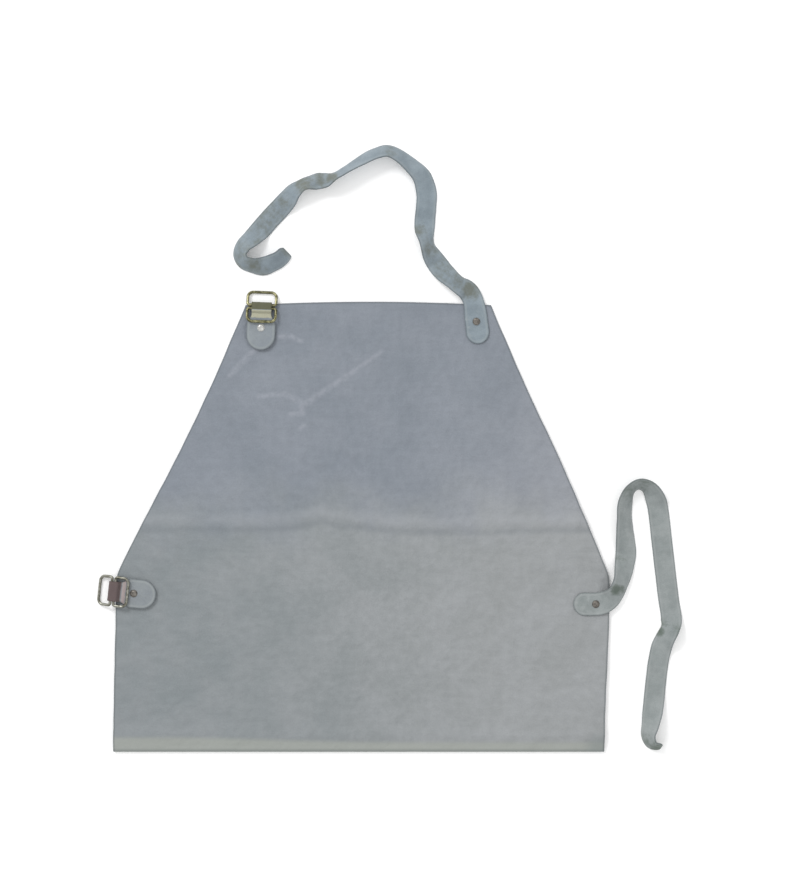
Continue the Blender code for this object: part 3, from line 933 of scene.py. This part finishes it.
def strap_row(route, length, level, seed, spots):
    """One row across a strap, which comes down from the apron and lies on the floor."""
    place = route.at(length)
    along = route.heading(length)
    half = strap_half_width(length, route.total, seed)
    bank = place.z
    across = Vector((-along.y * math.cos(bank), along.x * math.cos(bank), math.sin(bank)))
    up = Vector((along.y * math.sin(bank), -along.x * math.sin(bank), math.cos(bank)))
    lifted = level + GAP + LEATHER / 2
    landing = ease((length - STRAP_LIFTED) / (STRAP_LANDED - STRAP_LIFTED))
    height = lifted + (STRAP_FLOOR - lifted) * landing + half * abs(math.sin(bank))
    centre = Vector((place.x, place.y, height))
    free = ease((length - STRAP_TAIL - 15 * MM) / (30 * MM))
    # Stains and painted shade at folds and twists, or rubbed places below 0
    tone = tone_at(place, spots)
    cup = 1.0 * MM * free * (0.6 + noise.noise(Vector((length * 22, seed, 5))))
    crumple = (0.4 + 1.0 * tone) * MM * free
    lowest = min(height, STRAP_FLOOR)
    row, cut_row, edge_row = [], [], []
    for side in across_shares(half, STRIP_COLUMNS):
        bulge = cup * (1 - side * side) - 0.3 * cup
        bulge += crumple * noise.noise(Vector((length * 90, side * 1.5, seed)))
        point = centre + across * (half * side) + up * max(-0.2 * MM, bulge)
        point.z = max(point.z, lowest)
        row.append(point)
        cut_row.append((half * side, length + seed))
        to_root = STRAP_END_HALF - math.hypot(STRAP_END_HALF - length, half * side)
        to_side = half * (1 - abs(side))
        to_edge = min(to_side, route.total - length)
        if length < STRAP_END_HALF:
            to_edge = min(to_edge, to_root)
        edge_row.append((to_edge, tone_at(point, spots)))
    return row, cut_row, edge_row


def make_strap(name, knots, level, seed, spots, face, rim):
    """A strap from its riveted root to its free tip; its flat area is worked out but not used."""
    route = Route(knots)
    lengths = route.stations()
    parts = [strap_row(route, length, level, seed, spots) for length in lengths]
    strap = leather_object(name + "_leather", *zip(*parts), face, rim)
    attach(strap, name)
    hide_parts(name)
    area = sum(
        (b - a) * (strap_half_width(a, route.total, seed) + strap_half_width(b, route.total, seed))
        for a, b in zip(lengths, lengths[1:])
    )


# ---------------------------------------------------------------- ring tabs


def tab_half_width(x):
    if x > LOOP_START:
        return LOOP_HALF
    if x > FLARE_END:
        part = ease((LOOP_START - x) / (LOOP_START - FLARE_END))
        return LOOP_HALF + (TAB_HALF - LOOP_HALF) * part
    centre = TAB_HALF - TAB_TAIL
    if x > centre:
        return TAB_HALF
    return TAB_HALF * math.sqrt(max(0.01, 1 - ((centre - x) / TAB_HALF) ** 2))


def tab_side_view(reach):
    """Side view of a tab: along the lower leaf, round the rings' bars, back on top."""
    centre = TAB_HALF - TAB_TAIL
    tail = [centre - TAB_HALF * math.cos(math.pi / 2 * i / ROOT_ROWS) for i in range(ROOT_ROWS + 1)]
    straight = round((RAMP_TOP_X - centre) / (1.5 * MM))
    along = tail + [centre + (RAMP_TOP_X - centre) * (i + 1) / straight for i in range(straight)]
    side = [(x, LEAF_LOW) for x in along]
    for i in range(LOOP_STEPS + 1):
        turn = -math.pi / 2 + math.pi * i / LOOP_STEPS
        side.append((reach + LOOP_RADIUS * math.cos(turn), BAR_HEIGHT + LOOP_RADIUS * math.sin(turn)))
    for i in range(1, LOOP_TOP_STEPS):
        side.append((reach + (RAMP_TOP_X - reach) * i / LOOP_TOP_STEPS, LOOP_TOP))
    for i in range(RAMP_STEPS + 1):
        part = i / RAMP_STEPS
        x = RAMP_TOP_X + (RAMP_END_X - RAMP_TOP_X) * part
        side.append((x, LOOP_TOP + (LEAF_HIGH - LOOP_TOP) * ease(part)))
    side += [(x, LEAF_HIGH) for x in reversed(along) if x < RAMP_END_X - 0.5 * MM]
    return side


def tab_tone(x, on_top, stain_x, pale_x):
    """Over 0 where the loop is stained by the rings, below 0 on the rubbed leather behind it."""
    darkening = ease((x - stain_x) / (2.0 * MM))
    if not on_top:
        return darkening
    return darkening - ease((x - pale_x) / (2.0 * MM)) * (1 - ease((x - stain_x) / (1.2 * MM)))


def tab_row(station, length, total, seed, stains):
    x, z = station
    half = tab_half_width(x)
    half += 0.25 * MM * noise.noise(Vector((x * 150, seed, 1)))
    on_top = length > total / 2
    settled = ease((length - total * 0.62) / (total * 0.06))
    centre = TAB_HALF - TAB_TAIL
    row, cut_row, edge_row = [], [], []
    for side in across_shares(half, STRIP_COLUMNS):
        lift = 0.25 * MM * settled * (1 + noise.noise(Vector((x * 70, side * 2, seed))))
        row.append(Vector((x, half * side, z + lift)))
        cut_row.append((half * side, length + seed))
        to_edge = half * (1 - abs(side))
        if x < centre:
            to_edge = min(to_edge, TAB_HALF - math.hypot(centre - x, half * side))
        edge_row.append((to_edge, tab_tone(x, on_top, *stains)))
    return row, cut_row, edge_row


def make_tab(kind, level, seed, stains, face, rim):
    """A leather tab folded round its rings, in place on the apron."""
    rivet = Vector(JOINTS[kind + "_tab_swivel"]["pos_m"])
    bar = Vector(JOINTS[kind + "_outer_ring_swing"]["pos_m"])
    ahead = (bar - rivet).xy
    side = tab_side_view(ahead.length)
    lengths = [0.0]
    for (x0, z0), (x1, z1) in zip(side, side[1:]):
        lengths.append(lengths[-1] + math.hypot(x1 - x0, z1 - z0))
    total = lengths[-1]
    parts = [tab_row(*station, total, seed, stains) for station in zip(side, lengths)]
    node = kind + "_ring_tab"
    tab = leather_object(node + "_leather", *zip(*parts), face, rim)
    heading = Matrix.Rotation(math.atan2(ahead.y, ahead.x), 4, "Z")
    tab.data.transform(Matrix.Translation((rivet.x, rivet.y, level)) @ heading)
    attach(tab, kind + "_tab")
    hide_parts(node)


# ---------------------------------------------------------------- rings and rivets


def corner(centre, radius, start, steps=10):
    turns = [start + math.pi / 2 * i / steps for i in range(steps + 1)]
    return [(centre[0] + radius * math.cos(t), centre[1] + radius * math.sin(t)) for t in turns]


def ring_outline():
    """A ring as a rounded rectangle, its straight bar on the local Y axis."""
    far = RING_DEPTH - FAR_CORNER
    outline = corner((far, RING_HALF - FAR_CORNER), FAR_CORNER, 0)
    outline += corner((BAR_CORNER, RING_HALF - BAR_CORNER), BAR_CORNER, math.pi / 2)
    outline += corner((BAR_CORNER, BAR_CORNER - RING_HALF), BAR_CORNER, math.pi)
    outline += corner((far, FAR_CORNER - RING_HALF), FAR_CORNER, 1.5 * math.pi)
    return outline


def make_ring(kind, which, joint, heading, tilt, metal):
    """A bent wire ring, closed all round."""
    node = kind + "_ring_" + which
    curve = bpy.data.curves.new(node, "CURVE")
    curve.dimensions = "3D"
    curve.bevel_depth = WIRE_RADIUS
    curve.bevel_resolution = 6
    outline = ring_outline()
    spline = curve.splines.new("POLY")
    spline.points.add(len(outline) - 1)
    for point, (x, y) in zip(spline.points, outline):
        point.co = (x, y, 0, 1)
    spline.use_cyclic_u = True
    ring = bpy.data.objects.new(node + "_wire", curve)
    bpy.context.scene.collection.objects.link(ring)
    bpy.context.view_layer.update()
    graph = bpy.context.evaluated_depsgraph_get()
    mesh = bpy.data.meshes.new_from_object(ring.evaluated_get(graph))
    bpy.data.objects.remove(ring)
    bpy.data.curves.remove(curve)
    ring = add_object(node + "_wire", mesh)
    place = Matrix.Translation(JOINTS[joint]["pos_m"]) @ Matrix.Rotation(heading, 4, "Z")
    mesh.transform(place @ Matrix.Rotation(tilt, 4, "Y"))
    mesh.materials.clear()
    mesh.materials.append(metal)
    mesh.shade_smooth()
    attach(ring, kind + "_" + which + "_ring")
    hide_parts(node)


def make_rings(kind, level, metal):
    rivet = Vector(JOINTS[kind + "_tab_swivel"]["pos_m"])
    outer_joint = kind + "_outer_ring_swing"
    inner_joint = kind + "_inner_ring_lift"
    ahead = (Vector(JOINTS[outer_joint]["pos_m"]) - rivet).xy
    heading = math.atan2(ahead.y, ahead.x)
    drop = level + BAR_HEIGHT - WIRE_RADIUS - 0.05 * MM
    make_ring(kind, "outer", outer_joint, heading, math.asin(drop / RING_DEPTH), metal)
    make_ring(kind, "inner", inner_joint, heading, RING_LAID_BACK - math.pi, metal)


def turned(name, profile, metal, steps=40):
    """A solid turned about Z from a profile that runs from the axis down to the axis again."""
    points, faces = [], []
    for radius, height in profile[1:-1]:
        for i in range(steps):
            turn = 2 * math.pi * i / steps
            points.append((radius * math.cos(turn), radius * math.sin(turn), height))
    rings = len(profile) - 2
    for ring in range(rings - 1):
        for i in range(steps):
            after = (i + 1) % steps
            here, below = ring * steps, (ring + 1) * steps
            faces.append((here + i, below + i, below + after, here + after))
    crown, foot = len(points), len(points) + 1
    points += [(0, 0, profile[0][1]), (0, 0, profile[-1][1])]
    last = (rings - 1) * steps
    for i in range(steps):
        after = (i + 1) % steps
        faces.append((crown, i, after))
        faces.append((foot, last + after, last + i))
    mesh = bpy.data.meshes.new(name)
    mesh.from_pydata(points, [], faces)
    mesh.materials.append(metal)
    mesh.shade_smooth()
    mesh.set_sharp_from_angle(angle=math.radians(45))
    return add_object(name, mesh)


def head_profile(top, bottom):
    """A rivet: a flanged dome with a shallow dimple, and its shank."""
    rim = 0.45 * MM
    crown = top + HEAD_HEIGHT
    profile = [(0, crown - 0.22 * MM)]
    for share in (0.25, 0.42):
        profile.append((HEAD_RADIUS * share, crown - 0.22 * MM * (1 - ease(share / 0.42))))
    for i in range(1, 7):
        turn = math.pi / 2 * i / 6
        radius = HEAD_RADIUS * (0.42 + 0.43 * math.sin(turn))
        profile.append((radius, top + rim + (HEAD_HEIGHT - rim) * math.cos(turn)))
    profile += [(HEAD_RADIUS * 0.97, top + rim * 0.95), (HEAD_RADIUS, top + rim * 0.6)]
    profile += [(HEAD_RADIUS, top + 0.08 * MM), (HEAD_RADIUS * 0.97, top)]
    profile += [(SHANK_RADIUS, top), (SHANK_RADIUS, bottom), (0, bottom)]
    return profile


def cap_profile(top, bottom):
    """A rivet's back cap: a low button with a rolled rim."""
    profile = [(0, top), (HEAD_RADIUS * 0.96, top), (HEAD_RADIUS, top - 0.12 * MM)]
    profile += [(HEAD_RADIUS, bottom + 0.35 * MM), (HEAD_RADIUS * 0.93, bottom + 0.12 * MM)]
    profile += [(HEAD_RADIUS * 0.8, bottom), (HEAD_RADIUS * 0.3, bottom), (0, bottom)]
    return profile


def make_rivet(node, metal):
    """A rivet and its back cap, where their CAD solids are."""
    low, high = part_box(node)
    cap_low, cap_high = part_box(node + "_back_cap")
    centre = Matrix.Translation(((low.x + high.x) / 2, (low.y + high.y) / 2, 0))
    pieces = (
        (node, head_profile(high.z - HEAD_HEIGHT, low.z)),
        (node + "_back_cap", cap_profile(cap_high.z, cap_low.z)),
    )
    for name, profile in pieces:
        piece = turned(name + "_metal", profile, metal)
        piece.data.transform(centre)
        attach(piece, "apron")
        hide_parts(name)


# ---------------------------------------------------------------- stage


def make_floor():
    mesh = bpy.data.meshes.new("floor")
    corners = [(x * FLOOR_REACH, y * FLOOR_REACH, 0) for x, y in ((-1, -1), (1, -1), (1, 1), (-1, 1))]
    mesh.from_pydata(corners, [], [(0, 1, 2, 3)])
    floor = add_object("floor", mesh)
    floor.location.z = -0.1 * MM
    material, _, shader = new_material("floor_look", 0.9)
    shader.inputs["Base Color"].default_value = (0.92, 0.92, 0.92, 1)
    shader.inputs["Specular IOR Level"].default_value = 0.1
    shader.inputs["Emission Color"].default_value = (1, 1, 1, 1)
    shader.inputs["Emission Strength"].default_value = 0.12
    mesh.materials.append(material)


def make_light(name, place, aim, size, power):
    lamp = bpy.data.lights.new(name, "AREA")
    lamp.shape = "DISK"
    lamp.size = size
    lamp.energy = power
    light = bpy.data.objects.new(name, lamp)
    light.location = place
    light.rotation_euler = (Vector(aim) - Vector(place)).to_track_quat("-Z", "Y").to_euler()
    bpy.context.scene.collection.objects.link(light)


def make_lights():
    world = bpy.data.worlds.new("studio")
    bpy.context.scene.world = world
    world.use_nodes = True
    background = world.node_tree.nodes["Background"]
    background.inputs["Color"].default_value = (1.0, 1.0, 1.0, 1)
    background.inputs["Strength"].default_value = 0.9
    make_light("key", (-2.0, 2.6, 2.9), (0.05, 0.15, 0), 1.5, 78)
    make_light("fill", (2.6, -2.0, 3.4), (0.05, 0.1, 0), 2.5, 14)


def make_camera():
    """Straight above, framing the whole apron with the margins of the catalogue view."""
    lens = bpy.data.cameras.new("camera")
    lens.lens = 85
    lens.sensor_width = 36
    camera = bpy.data.objects.new("camera", lens)
    away = VIEW_HEIGHT / lens.sensor_width * lens.lens
    camera.location = (VIEW_CENTRE[0], VIEW_CENTRE[1], away)
    bpy.context.scene.collection.objects.link(camera)
    bpy.context.scene.camera = camera


def main():
    bpy.context.scene.view_settings.view_transform = "Standard"
    make_camera()
    make_floor()
    make_lights()
    rim = raw_edge_material()
    make_sheet(sheet_material(), rim)

    face = strip_material("neck_strap_look", NECK_STRAP_TONES, NECK_STRAP_STAIN_AND_SHADE, STRAP_RUBBED)
    make_strap("neck_strap", NECK_STRAP_ROUTE, NECK_LEVEL, 1.0, NECK_STRAP_SPOTS, face, rim)
    face = strip_material("waist_strap_look", WAIST_STRAP_TONES, WAIST_STRAP_STAIN_AND_SHADE, STRAP_RUBBED)
    make_strap("waist_strap", WAIST_STRAP_ROUTE, WAIST_LEVEL, 3.0, WAIST_STRAP_SPOTS, face, rim)

    face = strip_material("neck_tab_look", NECK_TAB_TONES, NECK_LOOP_STAIN, NECK_LOOP_PALE)
    make_tab("neck", NECK_LEVEL, 5.0, NECK_TAB_STAINS, face, rim)
    make_rings("neck", NECK_LEVEL, metal_material("brass_look", BRASS, BRASS_TARNISH, 0.32))
    face = strip_material("waist_tab_look", WAIST_TAB_TONES, WAIST_LOOP_STAIN, WAIST_LOOP_PALE)
    make_tab("waist", WAIST_LEVEL, 7.0, WAIST_TAB_STAINS, face, rim)
    make_rings("waist", WAIST_LEVEL, metal_material("steel_look", STEEL, STEEL_TARNISH, 0.35))

    nickel = metal_material("nickel_look", NICKEL, NICKEL_DULL, 0.25)
    bronze = metal_material("bronze_look", BRONZE, BRONZE_DULL, 0.4)
    make_rivet("neck_tab_rivet", nickel)
    for node in ("neck_strap_rivet", "waist_tab_rivet", "waist_strap_rivet"):
        make_rivet(node, bronze)


main()
